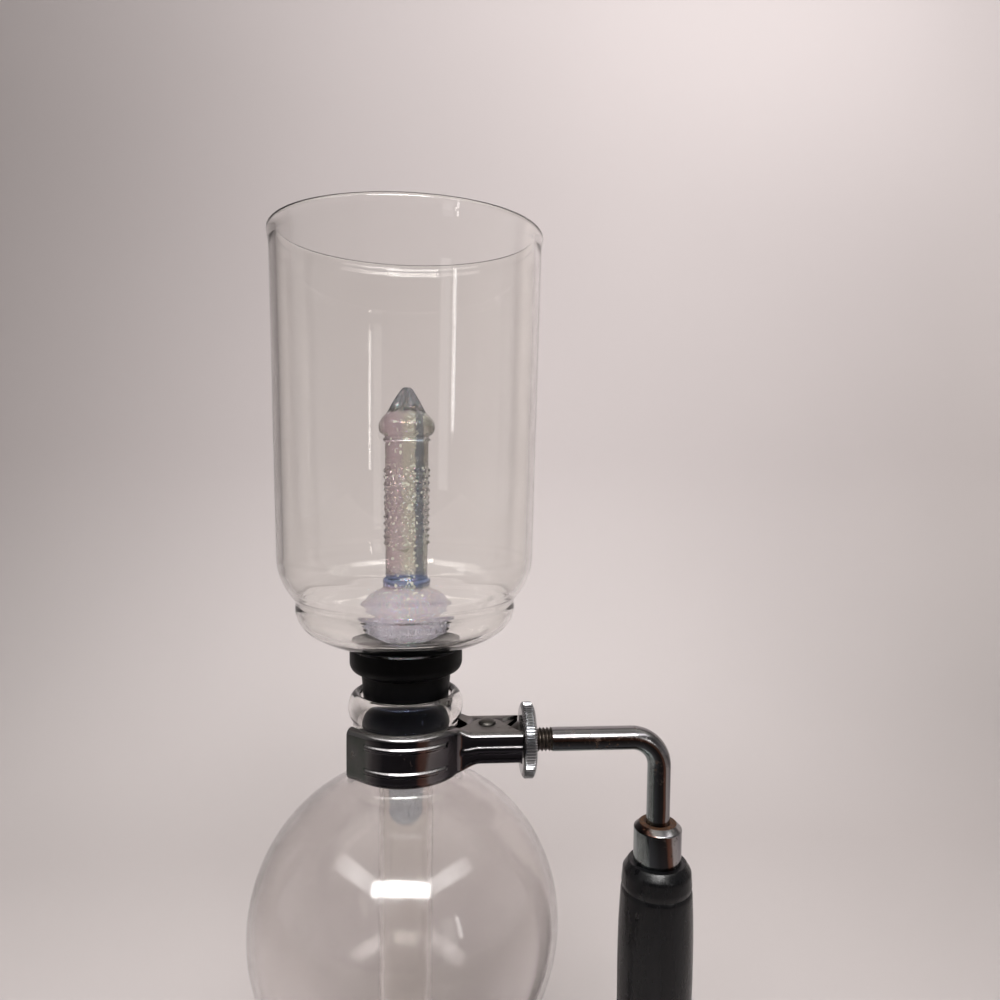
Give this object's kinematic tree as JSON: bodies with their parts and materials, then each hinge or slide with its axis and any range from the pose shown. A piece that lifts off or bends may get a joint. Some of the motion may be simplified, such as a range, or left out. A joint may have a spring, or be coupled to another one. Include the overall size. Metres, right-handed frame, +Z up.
{
  "type": "siphon coffee maker",
  "caption": "Vacuum siphon coffee maker: glass chamber with a glass filter over a globe flask, held by a screw clamp on a handled stand, with a spirit burner.",
  "frame": {"origin": "on the table plane, on the vertical axis of the flask and upper chamber", "axes": "+Z up along the glass axis, +X towards the pole and handle, +Y to the rear jaw's side"},
  "size_m": [0.1638, 0.11, 0.372],
  "materials": {
    "clear_glass": "clear borosilicate",
    "filter_glass": "knobbly and frosted, with an iridescent film",
    "black_rubber": "matt",
    "clamp_chrome": "aged chrome over pressed steel",
    "rod_chrome": "aged chrome, fine rust spots",
    "nut_chrome": "bright knurl",
    "dark_steel": "blackened",
    "zinc_steel": "zinc plated",
    "black_plastic": "moulded, fine grain",
    "base_chrome": "polished plate",
    "cotton": "braided"
  },
  "bodies": {
    "stand": {"base_sole": "black_rubber", "base_plate": "base_chrome", "base_washer": "zinc_steel", "base_nut": "zinc_steel", "stand_pole": "rod_chrome", "handle_ferrule": "rod_chrome", "handle_sleeve": "zinc_steel", "handle": "black_plastic", "handle_collar": "rod_chrome", "arm_rod": "rod_chrome", "pivot_rivet": "dark_steel", "flask_bowl": "clear_glass", "flask_dome": "clear_glass"},
    "thrust_cone": {"clamp_cone": "dark_steel"},
    "nut": {"knurled_nut": "nut_chrome"},
    "jaw_front": {"front_jaw": "clamp_chrome"},
    "jaw_rear": {"rear_jaw": "clamp_chrome"},
    "upper": {"upper_chamber": "clear_glass", "funnel_tube": "clear_glass", "rubber_stopper": "black_rubber"},
    "filter": {"glass_filter": "filter_glass"},
    "burner": {"burner_bowl": "clear_glass", "burner_gasket": "black_rubber", "burner_collar": "base_chrome", "wick": "cotton"},
    "cap": {"burner_cap": "base_chrome"}
  },
  "joints": [
    {"name": "cone_slide", "type": "slide", "parent": "stand", "child": "thrust_cone", "axis": [1, 0, 0], "range_m": [0, 0.0051]},
    {"name": "nut_spin", "type": "hinge", "parent": "thrust_cone", "child": "nut", "pos_m": [0.0386, 0, 0.2051], "axis": [1, 0, 0], "range_deg": [0, 1440]},
    {"name": "front_jaw_hinge", "type": "hinge", "parent": "stand", "child": "jaw_front", "pos_m": [0.0272, 0, 0.2056], "axis": [0, 0, 1], "range_deg": [0, 10.1]},
    {"name": "rear_jaw_hinge", "type": "hinge", "parent": "stand", "child": "jaw_rear", "pos_m": [0.0272, 0, 0.2056], "axis": [0, 0, 1], "range_deg": [-10.1, 0]},
    {"name": "upper_lift", "type": "slide", "parent": "stand", "child": "upper", "axis": [0, 0, 1], "range_m": [0, 0.14]},
    {"name": "filter_lift", "type": "slide", "parent": "upper", "child": "filter", "axis": [0, 0, 1], "range_m": [0, 0.2]},
    {"name": "burner_slide", "type": "slide", "parent": "stand", "child": "burner", "axis": [0, -1, 0], "range_m": [0, 0.1]},
    {"name": "cap_lift", "type": "slide", "parent": "burner", "child": "cap", "axis": [0, 0, 1], "range_m": [0, 0.016]}
  ],
  "couplings": [
    {"joint": "cone_slide", "follows": "nut_spin", "m_per_rad": 0.00019894},
    {"joint": "front_jaw_hinge", "follows": "nut_spin", "ratio": 0.0069444},
    {"joint": "rear_jaw_hinge", "follows": "nut_spin", "ratio": -0.0069444}
  ]
}
